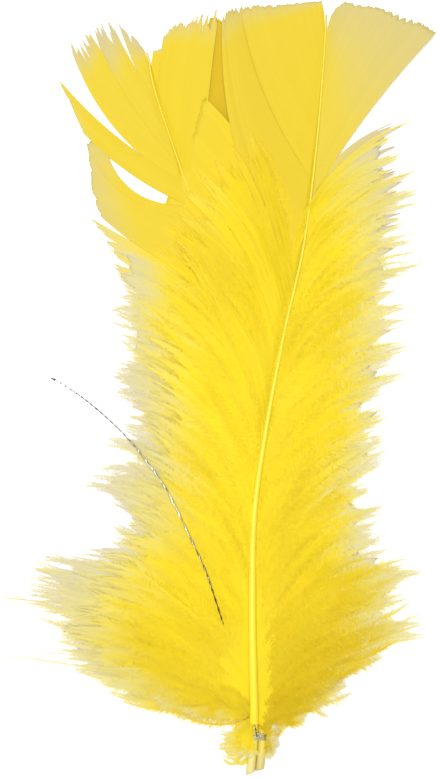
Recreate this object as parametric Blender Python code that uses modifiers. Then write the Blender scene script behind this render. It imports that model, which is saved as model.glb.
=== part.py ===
"""Two dyed turkey feathers, one lying on the other, tied together at their quills with fine wire.

A strand of tinsel leaves the wire tie, lies over the down and ends on the table. The pair lies flat: +X is
to the right, +Y runs from the quills to the tips, +Z is up and z = 0 is the table. The origin is on the
table, under the middle of the feathers' outline. Every size below is in millimetres until MM turns it.
"""

import math

import bmesh
import bpy
from mathutils import Matrix, Vector

MM = 0.001
GAP = 0.15  # half of the space kept between the two feathers
LAYER_HEIGHT = 2.6  # height of the sloping surface between the two feathers, at x = 0
LAYER_SLOPE = 0.035  # that surface falls towards +X, where the upper feather reaches past the lower one
CURL_START = 15.0  # the tips lift off the table from here on
CURL = 0.0012
VANE_THICKNESS = 0.5
LOCK_FLATNESS = 0.36
LOCK_SIDES = 1  # a bevel resolution: 1 makes 6 sides, 2 makes 8
LOCK_RINGS = 6
QUILL_SIDES = 2
TINSEL_RADIUS = 0.18
TIE_WIRE_RADIUS = 0.2
TIE_TURNS = 4
TIE_PITCH = 0.52
TIE_MIDDLE = -62.6
CLEARANCE = 0.1

# A shaft is a row of stations, (x, y, z, radius), from the cut end of the quill to the tip.
FRONT_SHAFT = [
    (5.3, -69.6, 1.5, 0.80),
    (5.8, -64.0, 1.5, 0.82),
    (5.9, -61.2, 1.5, 0.82),
    (5.95, -57.5, 2.8, 0.84),
    (5.75, -50.0, 3.7, 0.80),
    (5.6, -38.0, 4.0, 0.75),
    (5.9, -23.0, 4.0, 0.62),
    (7.9, -8.0, 3.8, 0.48),
    (11.2, 9.7, 3.4, 0.33),
    (14.8, 25.7, 3.1, 0.26),
    (17.0, 42.5, 3.6, 0.22),
    (18.3, 58.0, 4.9, 0.20),
    (18.8, 67.0, 5.8, 0.18),
]
BACK_SHAFT = [
    (7.1, -68.2, 1.4, 0.72),
    (7.55, -64.0, 1.4, 0.74),
    (7.6, -61.2, 1.4, 0.74),
    (7.4, -58.0, 1.35, 0.72),
    (6.0, -48.6, 1.25, 0.68),
    (4.7, -34.0, 1.25, 0.60),
    (3.0, -12.0, 1.25, 0.48),
    (0.7, 7.2, 1.15, 0.36),
    (-3.1, 27.0, 1.0, 0.26),
    (-7.2, 39.8, 1.5, 0.22),
    (-11.7, 53.1, 2.4, 0.20),
    (-13.3, 60.7, 3.2, 0.18),
]

# A barb leaves the shaft at a height, leans towards a bend point and ends at its tip, as
# (root y, bend x, bend y, tip x, tip y). A vane's web lies between its first barb and its last one.
FRONT_VANES = {
    "right": [
        (64.0, 19.2, 65.6, 19.9, 66.8),
        (58.0, 19.6, 64.0, 21.7, 69.1),
        (44.0, 21.6, 58.0, 30.9, 67.4),
        (33.0, 21.6, 52.0, 34.9, 65.7),
        (24.3, 20.0, 47.0, 38.7, 63.9),
    ],
    "left": [
        (64.0, 18.0, 66.0, 18.2, 69.3),
        (56.0, 15.6, 62.0, 13.4, 69.0),
        (44.0, 9.6, 55.0, 7.4, 68.4),
        (34.0, 3.2, 50.0, 2.3, 68.3),
        (27.0, -1.0, 46.0, 0.5, 67.0),
    ],
    "left lobe": [
        (25.5, 6.5, 45.0, -3.3, 52.7),
        (21.5, 6.0, 39.0, -5.2, 48.2),
    ],
}
BACK_VANES = {
    "left inner": [
        (57.0, -13.8, 60.0, -13.6, 61.0),
        (52.0, -15.2, 57.0, -16.0, 63.4),
        (48.0, -15.6, 54.0, -18.6, 66.4),
    ],
    "left middle": [
        (47.5, -16.0, 53.6, -19.0, 65.4),
        (41.0, -18.0, 50.0, -22.6, 64.4),
    ],
    "left outer": [
        (40.5, -18.4, 49.6, -23.4, 63.6),
        (33.0, -21.0, 46.3, -27.2, 61.6),
    ],
    "left second": [
        (32.0, -20.0, 44.0, -29.4, 56.3),
        (30.5, -17.5, 40.0, -24.6, 45.0),
    ],
    "left third": [
        (30.0, -19.5, 33.5, -21.3, 45.0),
        (24.0, -20.0, 29.0, -24.0, 39.5),
        (19.5, -14.0, 24.5, -21.8, 31.2),
    ],
    "right": [
        (57.0, -12.6, 60.6, -12.4, 61.6),
        (50.0, -10.0, 57.0, -8.0, 65.4),
        (38.0, -5.6, 53.0, -3.0, 67.2),
        (24.0, -1.6, 50.0, 4.0, 67.6),
        (10.0, 3.0, 36.0, 9.0, 57.0),
    ],
}
FRONT_RIGHT_DOWN = [
    (23.0, 19.4, 49.5, 35.6, 48.8),
    (18.5, 18.5, 37.5, 35.3, 39.0),
    (15.0, 18.0, 31.0, 36.2, 35.0),
    (8.0, 17.5, 24.5, 36.9, 26.5),
    (3.0, 17.0, 17.0, 35.0, 21.0),
    (-3.0, 16.0, 10.0, 34.0, 13.0),
    (-12.0, 15.0, 0.0, 32.5, 4.0),
    (-23.0, 14.0, -11.0, 30.5, -8.0),
    (-31.5, 13.0, -23.0, 27.5, -16.5),
    (-40.0, 14.0, -33.0, 29.3, -24.0),
    (-46.0, 16.0, -38.5, 38.4, -32.0),
    (-50.0, 17.0, -42.5, 34.0, -37.0),
    (-53.5, 16.0, -47.0, 37.6, -42.1),
    (-56.0, 14.0, -52.0, 28.5, -46.5),
    (-58.0, 11.0, -56.5, 20.0, -55.5),
    (-59.0, 9.0, -59.5, 13.0, -60.3),
]
FRONT_LEFT_DOWN = [
    (22.0, 8.0, 38.0, -5.5, 46.0),
    (18.0, 5.0, 34.0, -7.0, 41.0),
    (13.0, 2.0, 28.0, -8.5, 33.0),
    (8.0, 0.0, 22.0, -11.0, 26.0),
    (2.0, -1.0, 15.0, -13.5, 19.5),
    (-5.0, -3.0, 7.0, -14.5, 11.5),
    (-13.0, -4.0, -2.0, -14.5, 3.0),
    (-21.0, -5.0, -11.0, -15.0, -6.0),
    (-29.0, -6.0, -20.0, -17.5, -14.0),
    (-37.0, -7.0, -29.0, -20.0, -22.0),
    (-44.0, -8.0, -37.0, -24.0, -31.0),
    (-50.0, -9.0, -44.0, -28.5, -37.0),
    (-54.0, -9.0, -49.5, -30.0, -44.5),
    (-56.5, -7.0, -54.5, -23.0, -52.0),
    (-58.5, -3.0, -57.5, -13.0, -57.5),
]
BACK_LEFT_DOWN = [
    (18.0, -14.0, 24.0, -22.5, 30.3),
    (12.0, -12.0, 20.0, -20.8, 25.5),
    (5.0, -11.0, 15.0, -20.2, 19.8),
    (-1.0, -10.0, 9.0, -19.5, 12.6),
    (-8.0, -9.5, 2.0, -19.6, 5.4),
    (-15.0, -9.0, -6.0, -19.0, 0.0),
    (-22.0, -9.0, -14.0, -17.5, -8.0),
    (-29.0, -10.0, -20.0, -22.5, -11.0),
    (-35.0, -11.0, -26.0, -24.2, -16.5),
    (-41.0, -12.0, -33.0, -21.5, -25.0),
    (-47.0, -13.0, -39.0, -32.0, -29.8),
    (-51.0, -14.0, -44.0, -37.3, -33.8),
    (-54.0, -13.0, -48.0, -38.5, -38.0),
    (-56.5, -12.0, -51.5, -38.9, -47.8),
    (-58.5, -9.0, -55.0, -27.5, -50.5),
    (-59.8, -4.0, -58.5, -17.5, -56.0),
]
BACK_RIGHT_DOWN = [
    (20.0, 4.0, 30.0, 12.0, 34.0),
    (8.0, 8.0, 17.0, 18.0, 22.0),
    (-4.0, 10.0, 4.0, 20.0, 9.0),
    (-16.0, 11.0, -8.0, 22.0, -4.0),
    (-28.0, 12.0, -21.0, 23.0, -16.0),
    (-39.0, 13.0, -33.0, 25.0, -28.0),
    (-48.0, 14.0, -43.0, 27.0, -38.0),
    (-55.0, 13.0, -52.0, 23.0, -49.0),
]
# Short barbs below the tie, as (x, y) of the root and of the tip, and the lock's half width.
FRONT_TUFT = [
    ((5.2, -64.9), (0.2, -63.4), 0.5),
    ((5.2, -65.6), (-0.2, -66.3), 0.6),
]
BACK_TUFT = [((7.8, -64.6), (8.9, -66.2), 0.8)]

TINSEL_ROUTE = [
    (6.45, -62.4, 3.06),
    (6.6, -60.9, 4.4),
    (6.0, -59.0, 5.6),
    (4.9, -55.8, 6.2),
    (3.2, -50.0, 6.5),
    (1.8, -45.9, 6.6),
    (0.1, -41.0, 6.6),
    (-2.9, -32.0, 6.6),
    (-6.2, -24.9, 6.7),
    (-10.0, -17.5, 6.7),
    (-14.6, -11.2, 6.0),
    (-17.3, -8.1, 4.9),
    (-19.6, -5.9, 3.5),
    (-22.4, -3.5, 1.8),
    (-25.1, -1.4, 0.8),
    (-28.2, 0.7, 0.34),
    (-30.8, 2.2, 0.2),
]

PART = "tied_turkey_feathers"
TOOLS = "construction"


def collection(name):
    made = bpy.data.collections.new(name)
    bpy.context.scene.collection.children.link(made)
    return made


def material(name, colour, roughness, metallic=0.0):
    made = bpy.data.materials.new(name)
    made.use_nodes = True
    shader = made.node_tree.nodes["Principled BSDF"]
    shader.inputs["Base Color"].default_value = (*colour, 1.0)
    shader.inputs["Roughness"].default_value = roughness
    shader.inputs["Metallic"].default_value = metallic
    return made


def curl(y):
    """How far the feathers have lifted off the table at y."""
    return CURL * max(0.0, y - CURL_START) ** 2


def layer(x):
    """Height of the surface between the two feathers."""
    return LAYER_HEIGHT - LAYER_SLOPE * x


def along(stations, y):
    """The station at height y, on a smooth curve through the others."""
    last = len(stations) - 1
    after = next((i for i in range(1, last) if stations[i][1] > y), last)
    a, b = Vector(stations[after - 1]), Vector(stations[after])
    before = Vector(stations[max(after - 2, 0)])
    beyond = Vector(stations[min(after + 1, last)])
    step = b[1] - a[1]
    share = (y - a[1]) / step
    slope_a = (b - before) / (b[1] - before[1]) * step
    slope_b = (beyond - a) / (beyond[1] - a[1]) * step
    square, cube = share**2, share**3
    return (
        a * (2 * cube - 3 * square + 1)
        + slope_a * (cube - 2 * square + share)
        + b * (3 * square - 2 * cube)
        + slope_b * (cube - square)
    )


def barb_at(shaft, barb, share):
    """The point at a share of the way along a barb, flat in X and Y."""
    root = along(shaft, barb[0])
    bend, tip = Vector(barb[1:3]), Vector(barb[3:5])
    return root.xy * (1 - share) ** 2 + bend * 2 * share * (1 - share) + tip * share**2


def mesh_object(name, mesh, where):
    made = bpy.data.objects.new(name, mesh)
    where.objects.link(made)
    return made


def helper(thing):
    """Marks a construction piece, which isn't a part of its own."""
    thing.hide_render = True
    thing.display_type = "WIRE"
    return thing


def evaluated_mesh(thing):
    """The object's mesh with its modifiers applied, and its doubled points merged."""
    bpy.context.view_layer.update()
    graph = bpy.context.evaluated_depsgraph_get()
    mesh = bpy.data.meshes.new_from_object(thing.evaluated_get(graph))
    shape = bmesh.new()
    shape.from_mesh(mesh)
    bmesh.ops.remove_doubles(shape, verts=shape.verts, dist=0.001 * MM)
    shape.to_mesh(mesh)
    shape.free()
    return mesh


def tube(name, points, radii, resolution, where):
    """A tube with closed ends along points in millimetres, as a mesh object."""
    curve = bpy.data.curves.new(name, "CURVE")
    curve.dimensions = "3D"
    curve.bevel_depth = MM
    curve.bevel_resolution = resolution
    curve.use_fill_caps = True
    spline = curve.splines.new("POLY")
    spline.points.add(len(points) - 1)
    for point, place, radius in zip(spline.points, points, radii):
        point.co = (*(MM * Vector(place)), 1.0)
        point.radius = radius
    drawn = mesh_object(name + " line", curve, where)
    mesh = evaluated_mesh(drawn)
    bpy.data.objects.remove(drawn)
    return mesh_object(name, mesh, where)


def shaft_tube(name, stations, where, swell=0.0):
    """The quill and the shaft, with the quill's end cut on a slant. swell makes it fatter, for a cutter."""
    low, high = stations[0][1], stations[-1][1]
    count = 18
    rows = [along(stations, low + (high - low) * i / (count - 1)) for i in range(count)]
    places = [row.xyz for row in rows]
    made = tube(name, places, [row[3] + swell for row in rows], QUILL_SIDES, where)
    slant = 0.7
    for vertex in made.data.vertices:
        if vertex.co.y < (low + 1.0) * MM:
            vertex.co.y += slant * (vertex.co.x - stations[0][0] * MM)
    return made


def lock(name, shaft, barb, half_width, height, where):
    """One lock of down: a flat blade along a barb, narrow at its root and tapered to its tip."""
    places, radii = [], []
    for i in range(LOCK_RINGS):
        share = i / (LOCK_RINGS - 1)
        places.append((*barb_at(shaft, barb, share), 0.0))
        belly = min(1.0, 0.4 + 1.5 * share) * (1 - share**4) ** 0.6
        radii.append(max(0.14, half_width * belly))
    made = tube(name, places, radii, LOCK_SIDES, where)
    for vertex in made.data.vertices:
        middle = height(vertex.co.x / MM, vertex.co.y / MM)
        vertex.co.z = vertex.co.z * LOCK_FLATNESS + middle * MM
    return helper(made)


def web(name, shaft, barbs, height, where, rows=7):
    """The web of a vane between its first barb and its last, a sheet with a thickness."""
    columns = max(2, 2 * len(barbs) - 2)
    shape = bmesh.new()
    bmesh.ops.create_grid(shape, x_segments=columns, y_segments=rows, size=0.5)
    for vertex in shape.verts:
        across = (vertex.co.x + 0.5) * (len(barbs) - 1)
        share = vertex.co.y + 0.5
        first = min(int(across), len(barbs) - 2)
        mix = across - first
        barb = Vector(barbs[first]).lerp(Vector(barbs[first + 1]), mix)
        place = barb_at(shaft, barb, share)
        vertex.co = MM * Vector((*place, height(*place)))
    mesh = bpy.data.meshes.new(name)
    shape.to_mesh(mesh)
    shape.free()
    made = mesh_object(name, mesh, where)
    thick = made.modifiers.new("thickness", "SOLIDIFY")
    thick.thickness = VANE_THICKNESS * MM
    thick.offset = 0.0
    solid = mesh_object(name + " solid", evaluated_mesh(made), where)
    bpy.data.objects.remove(made)
    shape = bmesh.new()
    shape.from_mesh(solid.data)
    bmesh.ops.recalc_face_normals(shape, faces=shape.faces)
    shape.to_mesh(solid.data)
    shape.free()
    return helper(solid)


def half_space(name, where, above, offset):
    """A block whose face is the surface between the feathers, moved by offset, to cut with."""
    size = 200.0
    shape = bmesh.new()
    bmesh.ops.create_cube(shape, size=size * MM)
    side = 1 if above else -1
    bmesh.ops.translate(shape, verts=shape.verts, vec=(0, 0, side * size / 2 * MM))
    tilt = Matrix.Rotation(math.atan(LAYER_SLOPE), 4, "Y")
    lift = Matrix.Translation((0, 0, (LAYER_HEIGHT + offset) * MM))
    bmesh.ops.transform(shape, matrix=lift @ tilt, verts=shape.verts)
    mesh = bpy.data.meshes.new(name)
    shape.to_mesh(mesh)
    shape.free()
    return helper(mesh_object(name, mesh, where))


def table_block(where):
    """Everything under the table top, which flattens the down that rests on it."""
    size = 200.0
    shape = bmesh.new()
    bmesh.ops.create_cube(shape, size=size * MM)
    bmesh.ops.translate(shape, verts=shape.verts, vec=(0, 0, -size / 2 * MM))
    mesh = bpy.data.meshes.new("table")
    shape.to_mesh(mesh)
    shape.free()
    return helper(mesh_object("table", mesh, where))


def boolean(thing, operation, other):
    """Adds a Boolean with one object or with a collection of them."""
    made = thing.modifiers.new(operation.lower(), "BOOLEAN")
    made.operation = operation
    made.solver = "EXACT"
    if isinstance(other, bpy.types.Collection):
        made.operand_type = "COLLECTION"
        made.collection = other
    else:
        made.object = other


def fused_down(name, locks, cutters, tools):
    """All the locks of one feather as one solid, trimmed by the cutters. The first lock takes the rest in."""
    others = bpy.data.collections.new(name + " locks")
    tools.children.link(others)
    for piece in locks[1:]:
        tools.objects.unlink(piece)
        others.objects.link(piece)
    body = locks[0]
    boolean(body, "UNION", others)
    for cutter in cutters:
        boolean(body, "DIFFERENCE", cutter)
    return helper(mesh_object(name, evaluated_mesh(body), tools))


def back_height(x, y):
    return 0.75 + curl(y)


def front_height(x, y):
    return layer(x) + 0.6 + curl(y)


def back_down_height(x, y):
    return 0.95 + 0.25 * curl(y)


def front_down_height(x, y):
    return layer(x) + 1.0 + 0.25 * curl(y)


def locks_along(name, shaft, barbs, half_width, height, tools):
    return [
        lock(f"{name} {i}", shaft, barb, half_width * scale, height, tools)
        for i, barb in enumerate(barbs)
        for scale in [0.6 + 0.4 * min(1.0, i / 2, (len(barbs) - 1 - i) / 3)]
    ]


def tuft(name, shaft, barbs, level, tools):
    """The short locks below the tie."""
    made = []
    for i, (root, tip, half_width) in enumerate(barbs):
        middle = (Vector(root) + Vector(tip)) / 2
        points = [root, middle, middle.lerp(Vector(tip), 0.6), tip]
        radii = [half_width * 0.7, half_width, half_width * 0.8, 0.14]
        places = [(*point, level) for point in points]
        made.append(helper(tube(f"{name} {i}", places, radii, LOCK_SIDES, tools)))
    return made


def feather(name, shaft, pieces, part, tools, clear_of=None):
    """Fuses a feather's shaft with its webs, its down and its tuft into one solid."""
    made = shaft_tube(name, shaft, part)
    others = bpy.data.collections.new(name + " pieces")
    tools.children.link(others)
    for piece in pieces:
        for holder in piece.users_collection:
            holder.objects.unlink(piece)
        if clear_of is not None:
            boolean(piece, "DIFFERENCE", clear_of)
        others.objects.link(piece)
    boolean(made, "UNION", others)
    return made


def tie_points():
    """The centre line of the tie: a flat helix round both quills."""
    front, back = along(FRONT_SHAFT, TIE_MIDDLE), along(BACK_SHAFT, TIE_MIDDLE)
    a, b = Vector((front.x, front.z)), Vector((back.x, back.z))
    reach = max(front.w, back.w) + CLEARANCE + TIE_WIRE_RADIUS
    side = (b - a).normalized()
    up = Vector((-side.y, side.x))
    per_turn = 10
    points = []
    for i in range(per_turn * TIE_TURNS + 1):
        turn = i / per_turn
        angle = 2 * math.pi * turn
        centre = b if math.cos(angle) > 0 else a
        place = centre + reach * (side * math.cos(angle) + up * math.sin(angle))
        y = TIE_MIDDLE + TIE_PITCH * (TIE_TURNS / 2 - turn)
        points.append((place.x, y, place.y))
    return points


def tinsel_points():
    """The centre line of the strand: a smooth line through its route."""
    knots = [Vector(p) for p in TINSEL_ROUTE]
    steps = 2
    points = []
    for i in range(len(knots) - 1):
        before, a = knots[max(i - 1, 0)], knots[i]
        b, beyond = knots[i + 1], knots[min(i + 2, len(knots) - 1)]
        for k in range(steps):
            t = k / steps
            points.append(
                0.5
                * (
                    2 * a
                    + (b - before) * t
                    + (2 * before - 5 * a + 4 * b - beyond) * t**2
                    + (3 * a - before - 3 * b + beyond) * t**3
                )
            )
    points.append(knots[-1])
    return points


def finish(thing, look):
    thing.data.materials.clear()
    thing.data.materials.append(look)
    thing.data.shade_smooth()
    thing.data.set_sharp_from_angle(angle=math.radians(40))


def main():
    for thing in list(bpy.data.objects):
        bpy.data.objects.remove(thing)
    part, tools = collection(PART), collection(TOOLS)

    table = table_block(tools)
    over = half_space("over the lower feather", tools, True, -GAP)
    under = half_space("under the upper feather", tools, False, GAP)
    front_room = helper(shaft_tube("room for the front shaft", FRONT_SHAFT, tools, 0.3))
    back_room = helper(shaft_tube("room for the back shaft", BACK_SHAFT, tools, 0.3))

    locks = locks_along("fr", FRONT_SHAFT, FRONT_RIGHT_DOWN, 4.6, front_down_height, tools)
    locks += locks_along("fl", FRONT_SHAFT, FRONT_LEFT_DOWN, 4.3, front_down_height, tools)
    front_down = fused_down("front down", locks, [under, back_room], tools)
    locks = locks_along("bl", BACK_SHAFT, BACK_LEFT_DOWN, 4.4, back_down_height, tools)
    locks += locks_along("br", BACK_SHAFT, BACK_RIGHT_DOWN, 5.4, back_down_height, tools)
    back_down = fused_down("back down", locks, [over, table, front_room], tools)

    pieces = [front_down]
    for side, barbs in FRONT_VANES.items():
        pieces.append(web("front " + side, FRONT_SHAFT, barbs, front_height, tools))
    pieces += tuft("front tuft", FRONT_SHAFT, FRONT_TUFT, 1.4, tools)
    front = feather("front_feather", FRONT_SHAFT, pieces, part, tools)

    pieces = [back_down]
    for side, barbs in BACK_VANES.items():
        pieces.append(web("back " + side, BACK_SHAFT, barbs, back_height, tools))
    pieces += tuft("back tuft", BACK_SHAFT, BACK_TUFT, 1.3, tools)
    back = feather("back_feather", BACK_SHAFT, pieces, part, tools)

    points = tie_points()
    tie = tube("binding_wire", points, [TIE_WIRE_RADIUS] * len(points), 1, part)
    points = tinsel_points()
    tinsel = tube("tinsel_strand", points, [TINSEL_RADIUS] * len(points), 1, part)

    yellow = material("dyed feather", (0.95, 0.68, 0.04), 0.75)
    silver = material("silver tinsel", (0.82, 0.82, 0.80), 0.3, 1.0)
    for thing, look in ((front, yellow), (back, yellow), (tie, silver), (tinsel, silver)):
        finish(thing, look)


main()
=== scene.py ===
import math

import bmesh
import bpy
import numpy as np
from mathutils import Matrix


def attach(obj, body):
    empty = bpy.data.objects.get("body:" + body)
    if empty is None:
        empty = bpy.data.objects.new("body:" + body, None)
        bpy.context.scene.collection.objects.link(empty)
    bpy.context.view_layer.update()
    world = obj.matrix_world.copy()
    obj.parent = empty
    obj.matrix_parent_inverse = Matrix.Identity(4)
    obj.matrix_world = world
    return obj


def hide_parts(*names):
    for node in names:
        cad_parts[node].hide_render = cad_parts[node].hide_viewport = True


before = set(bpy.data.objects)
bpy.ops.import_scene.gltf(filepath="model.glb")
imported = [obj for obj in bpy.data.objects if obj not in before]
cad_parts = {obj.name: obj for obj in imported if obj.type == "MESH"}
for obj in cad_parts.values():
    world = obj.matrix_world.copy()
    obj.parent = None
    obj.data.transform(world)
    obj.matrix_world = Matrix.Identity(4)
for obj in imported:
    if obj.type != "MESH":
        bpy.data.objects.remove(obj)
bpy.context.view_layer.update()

MM = 0.001


# The camera. The photograph looks straight down on the feathers from about a third of a metre, and they
# fill its frame.
frame_height = 140.2
aim_x, aim_y, aim_z = -0.2, 0.1, 3.0
camera = bpy.data.objects.new("camera", bpy.data.cameras.new("camera"))
bpy.context.scene.collection.objects.link(camera)
bpy.context.scene.camera = camera
camera.data.lens = 90.0
camera.data.sensor_width = 36.0
camera.data.clip_start = 0.01
distance = frame_height * camera.data.lens / camera.data.sensor_width
camera.location = (aim_x * MM, aim_y * MM, (aim_z + distance) * MM)
bpy.context.scene.view_settings.view_transform = "Standard"


# The tinsel strand: a flat metal thread, cut off at both ends. It is held in the wire tie, lies over the down
# and ends on the table. It is twisted, so that its two bright sides take turns to show.
def smooth_line(knots, count):
    """Points on a smooth curve through the knots."""
    knots = np.array(knots, float)
    ends = np.vstack([2 * knots[0] - knots[1], knots, 2 * knots[-1] - knots[-2]])
    place = np.linspace(0, len(knots) - 1, count)
    i = np.minimum(place.astype(int), len(knots) - 2)
    t = (place - i)[:, None]
    a, b, c, d = ends[i], ends[i + 1], ends[i + 2], ends[i + 3]
    line = 2 * b + (c - a) * t + (2 * a - 5 * b + 4 * c - d) * t**2 + (3 * b - a - 3 * c + d) * t**3
    return line / 2


def unit(vectors):
    """The vectors at a length of one."""
    return vectors / np.linalg.norm(vectors, axis=-1, keepdims=True)


def rings_along(line, radii, sides, flatness=1.0, twist=0.0):
    """Rings of points round a line: rings x sides x 3. twist turns them by that angle per ring."""
    ahead = unit(np.gradient(line, axis=0))
    across = unit(np.cross(ahead, (0.0, 0.0, 1.0)))
    above = np.cross(across, ahead)
    turn = twist * np.arange(len(line))[:, None, None]
    angle = np.arange(sides)[:, None] * 2 * np.pi / sides
    wide = np.cos(angle) * np.ones_like(turn)
    high = np.sin(angle) * flatness * np.ones_like(turn)
    x = wide * np.cos(turn) - high * np.sin(turn)
    y = wide * np.sin(turn) + high * np.cos(turn)
    return line[:, None] + np.reshape(radii, (-1, 1, 1)) * (x * across[:, None] + y * above[:, None])


def skin(rings):
    """A closed skin over rings of points: the points, with one more at each end, and the triangles."""
    count, sides = rings.shape[:2]
    points = np.vstack([rings.reshape(-1, 3), rings[0].mean(axis=0), rings[-1].mean(axis=0)])
    ring, side = np.meshgrid(np.arange(count - 1), np.arange(sides), indexing="ij")
    a = ring * sides + side
    b = ring * sides + (side + 1) % sides
    walls = np.stack([a, b + sides, b, a, a + sides, b + sides], axis=-1).reshape(-1, 3)
    edge = np.arange(sides)
    after = (edge + 1) % sides
    last = (count - 1) * sides
    first_cap = np.stack([edge, after, np.full(sides, count * sides)], axis=-1)
    last_cap = np.stack([last + after, last + edge, np.full(sides, count * sides + 1)], axis=-1)
    return points, np.vstack([walls, first_cap, last_cap])


def piece(name, points, faces, look, places=None):
    """A mesh piece from arrays, in millimetres. places is each point's place on the dye's chart."""
    mesh = bpy.data.meshes.new(name)
    mesh.vertices.add(len(points))
    mesh.vertices.foreach_set("co", np.ravel(points) * MM)
    mesh.loops.add(faces.size)
    mesh.loops.foreach_set("vertex_index", faces.ravel())
    mesh.polygons.add(len(faces))
    mesh.polygons.foreach_set("loop_start", np.arange(len(faces)) * faces.shape[1])
    mesh.update(calc_edges=True)
    if places is not None:
        for chart in ("barb", "OFBake"):
            layer = mesh.uv_layers.new(name=chart)
            layer.uv.foreach_set("vector", places[faces.ravel()].ravel())
    mesh.materials.append(look)
    made = bpy.data.objects.new(name, mesh)
    bpy.context.scene.collection.objects.link(made)
    return made


def place_on_chart(nodes, links):
    """Outputs X and Y that give a point's place on the chart, u and v, from the piece's own UV map."""
    chart = nodes.new("ShaderNodeUVMap")
    chart.uv_map = "barb"
    place = nodes.new("ShaderNodeSeparateXYZ")
    links.new(chart.outputs["UV"], place.inputs[0])
    return place.outputs


def metal(name, colour, roughness, painted_shade_colour=None):
    """Bare metal. With a painted shade colour, the piece's chart goes from that painted shade to colour along
    u.
    """
    made = bpy.data.materials.new(name)
    made.use_nodes = True
    nodes, links = made.node_tree.nodes, made.node_tree.links
    shader = nodes["Principled BSDF"]
    shader.inputs["Base Color"].default_value = (*colour, 1.0)
    shader.inputs["Metallic"].default_value = 1.0
    shader.inputs["Roughness"].default_value = roughness
    # Painted shade: u mixes the metal's colour down to a painted shade colour.
    if painted_shade_colour:
        place = place_on_chart(nodes, links)
        blend = nodes.new("ShaderNodeMix")
        blend.data_type = "RGBA"
        links.new(place["X"], blend.inputs["Factor"])
        blend.inputs["A"].default_value = (*painted_shade_colour, 1.0)
        blend.inputs["B"].default_value = (*colour, 1.0)
        links.new(blend.outputs["Result"], shader.inputs["Base Color"])
    return made


tinsel_route = [
    (6.45, -62.4, 2.88),
    (6.0, -60.4, 2.7),
    (4.7, -57.0, 2.5),
    (3.2, -51.0, 2.8),
    (1.8, -45.9, 3.5),
    (1.0, -43.4, 3.6),
    (0.1, -41.0, 4.7),
    (-1.5, -36.0, 5.6),
    (-2.9, -32.0, 5.7),
    (-6.2, -24.9, 5.8),
    (-10.0, -17.5, 5.6),
    (-14.6, -11.2, 5.0),
    (-17.3, -8.1, 4.2),
    (-19.6, -5.9, 3.2),
    (-22.4, -3.5, 1.8),
    (-25.1, -1.4, 0.8),
    (-28.2, 0.7, 0.34),
    (-30.8, 2.2, 0.28),
]
silver = metal("silver tinsel", (0.78, 0.78, 0.77), 0.3, (0.10, 0.09, 0.05))
tinsel_rings, tinsel_sides, crushed_rings = 320, 6, 6
tinsel_line = smooth_line(tinsel_route, tinsel_rings)
tinsel_radii = np.full(tinsel_rings, 0.15)
tinsel_radii[-crushed_rings:] = 0.26
tinsel_strip = rings_along(tinsel_line, tinsel_radii, tinsel_sides, flatness=0.5, twist=0.5)
tinsel_points, tinsel_faces = skin(tinsel_strip)

# Painted light and shade: it is painted brightest where it lies free of the down, and painted darker where it
# runs into the down's shade and on stretches turned from the light. Its crushed end is dark.
rng = np.random.default_rng(7)
shine = np.interp(tinsel_line[:, 1], (-44.0, -34.0, -20.0, -6.0), (0.1, 0.15, 0.75, 0.6))
turned_away = rng.random(tinsel_rings) < 0.3
shine = shine * np.where(turned_away, 0.35, 1.0)
shine[-crushed_rings:] = 0.05
shine = np.append(np.repeat(shine, tinsel_sides), shine[[0, -1]])
tinsel_places = np.stack([shine, np.linspace(0.2, 0.8, len(shine))], axis=-1)
tinsel = piece("silver_tinsel", tinsel_points, tinsel_faces, silver, tinsel_places)
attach(tinsel, "root")
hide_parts("tinsel_strand")
tuple(MM * x for x in tinsel_route[0])
[tuple(float(x * MM) for x in point) for point in smooth_line(tinsel_route, 40)]


# The back feather's quill and shaft: a hollow horn tube at the cut end that narrows to a solid tip. Dye sinks
# into it less than into the down, so it is paler, and shinier.
dye_fading = (
    (0.0, (0.97, 0.78, 0.016)),
    (0.3, (0.92, 0.785, 0.11)),
    (0.6, (0.80, 0.73, 0.33)),
    (1.0, (0.69, 0.65, 0.60)),
)
# Painted shade: v on the chart darkens the dye towards this warm shade colour.
shade_to_light = ((0.0, (0.62, 0.50, 0.30)), (1.0, (1.0, 1.0, 1.0)))
lit_from_behind = (1.0, 0.97, 0.7)


def ramp(nodes, links, source, stops):
    """The output of a ramp of colours along source."""
    made = nodes.new("ShaderNodeValToRGB")
    made.color_ramp.elements.remove(made.color_ramp.elements[1])
    first_position, first_colour = stops[0]
    made.color_ramp.elements[0].position = first_position
    made.color_ramp.elements[0].color = (*first_colour, 1.0)
    for position, colour in stops[1:]:
        made.color_ramp.elements.new(position).color = (*colour, 1.0)
    links.new(source, made.inputs["Fac"])
    return made.outputs["Color"]


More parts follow.
